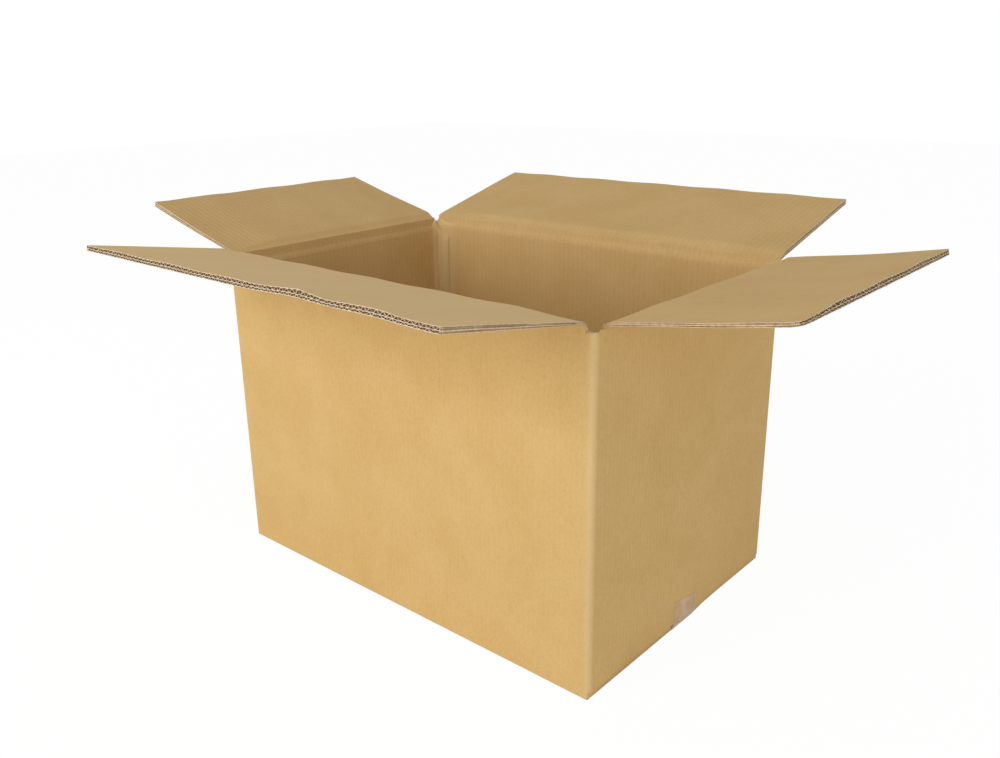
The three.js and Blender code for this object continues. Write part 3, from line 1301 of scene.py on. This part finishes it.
@dataclass(frozen=True)
class Studio:
    """The camera, the floor and the light.

    Attributes:
        azimuth: the camera's turn about the box, from the front towards the right end.
        white: how much of the floor's look is plain white, and the rest keeps the shadow.
    """

    lens: float = 33.913
    sensor: float = 36.0
    azimuth: float = math.radians(41.390)
    elevation: float = math.radians(18.036)
    roll: float = math.radians(-0.837)
    shift: tuple[float, float] = (0.00364, -0.00939)
    station: tuple[float, float, float] = (0.7578, -0.8593, 0.6260)
    white: float = 0.93

    def camera(self) -> None:
        """Places the camera where the photograph was taken from."""
        start_alone()
        bpy.ops.object.camera_add(location=self.station)
        camera = bpy.context.object
        camera.name = "photo_camera"
        camera.data.lens = self.lens
        camera.data.sensor_fit = "HORIZONTAL"
        camera.data.sensor_width = self.sensor
        camera.data.shift_x, camera.data.shift_y = self.shift
        camera.data.clip_start = 0.05
        a, e, r = self.azimuth, self.elevation, self.roll
        back = Vector((math.sin(a) * math.cos(e), -math.cos(a) * math.cos(e), math.sin(e)))
        right = Vector((math.cos(a), math.sin(a), 0.0))
        up = back.cross(right)
        right_turned = right * math.cos(r) + up * math.sin(r)
        up_turned = up * math.cos(r) - right * math.sin(r)
        turn = Matrix((right_turned, up_turned, back)).transposed()
        camera.matrix_world = Matrix.Translation(self.station) @ turn.to_4x4()
        bpy.context.scene.camera = camera

    def floor(self) -> None:
        """Lays a white floor that keeps a soft shadow."""
        start_alone()
        bpy.ops.mesh.primitive_plane_add(size=14.0, location=(0, 0, -0.2 * MM))
        floor = bpy.context.object
        floor.name = "floor"
        mat, tree, _ = start_material("white_floor")
        tree.nodes.clear()
        paint = add_node(tree, "BsdfDiffuse", {"Color": grey(0.82)})
        glow = add_node(tree, "Emission", {"Color": grey(1.0), "Strength": 1.03})
        product = {"operation": "MULTIPLY"}
        share = add_node(tree, "Math", {0: seen_directly(tree), 1: self.white}, product)
        inputs = {"Fac": share.outputs[0], 1: paint.outputs[0], 2: glow.outputs[0]}
        mixed = add_node(tree, "MixShader", inputs)
        add_node(tree, "OutputMaterial", {"Surface": mixed.outputs[0]})
        floor.data.materials.append(mat)

    def light(self) -> None:
        """Lights the box from all round, with a broad soft lamp in front of it."""
        world = bpy.data.worlds.new("studio")
        bpy.context.scene.world = world
        world.use_nodes = True
        tree = world.node_tree
        tree.nodes.clear()
        soft = add_node(tree, "Background", {"Color": grey(1.0), "Strength": 0.48})
        white = add_node(tree, "Background", {"Color": grey(1.0), "Strength": 1.0})
        inputs = {"Fac": seen_directly(tree), 1: soft.outputs[0], 2: white.outputs[0]}
        mixed = add_node(tree, "MixShader", inputs)
        add_node(tree, "OutputWorld", {"Surface": mixed.outputs[0]})
        self.lamp("front_lamp", (-0.7, -3.2, 1.5), 2.2, 58.0)
        self.lamp("side_lamp", (3.2, -0.9, 0.6), 1.2, 18.0)

    def lamp(self, name: str, place: tuple[float, float, float], size: float,
             power: float) -> None:
        """Adds a square soft lamp that faces the box.

        Args:
            name: the lamp's name.
            place: where it stands.
            size: the length of its sides.
            power: its watts.
        """
        start_alone()
        bpy.ops.object.light_add(type="AREA", location=place)
        lamp = bpy.context.object
        lamp.name = name
        lamp.data.size = size
        lamp.data.energy = power
        aim = Vector((0, 0, 0.25)) - Vector(place)
        lamp.rotation_mode = "QUATERNION"
        lamp.rotation_quaternion = aim.to_track_quat("-Z", "Y")


FLAPS = (
    # The front flap's inner face is painted paler as painted light, for the light from the front
    # and above; the right flap's is a little paler.
    TopFlap("front_flap", "front_crease", (0.0, 1.0), near_side=1,
            side_crush=(0.42, 1.0), buckle=0.104, painted_light_share=0.65,
            waves=(Wave(0.095, 45 * MM, 2.6 * MM), Wave(0.19, 45 * MM, 1.8 * MM))),
    TopFlap("right_flap", "right_crease", (-1.0, 0.0), rise=4 * MM, near_side=-1,
            side_crush=(0.45, 0.65), side_lift=1.0 * MM, blunt_corner=12 * MM,
            slant=7 * MM, painted_light_share=0.15),
    TopFlap("back_flap", "back_crease", (0.0, -1.0)),
    TopFlap("left_flap", "left_crease", (1.0, 0.0), rise=3 * MM),
)


def main() -> None:
    """Builds the box and its studio, and logs each piece."""
    logging.basicConfig(level=logging.INFO, format="%(name)s: %(message)s")
    bpy.context.scene.view_settings.view_transform = "Standard"
    studio = Studio()
    studio.camera()
    finishes = Finishes()
    pieces = [Carton().build(finishes)]
    for flap in FLAPS:
        pieces.append(flap.build(finishes))
        pieces.append(PressedCrease(flap).build(finishes))
    pieces.append(BottomTape().build(finishes))
    for piece in pieces:
        LOG.info("%s: %d faces", piece.name, len(piece.data.polygons))
    studio.floor()
    studio.light()


if __name__ == "__main__":
    main()
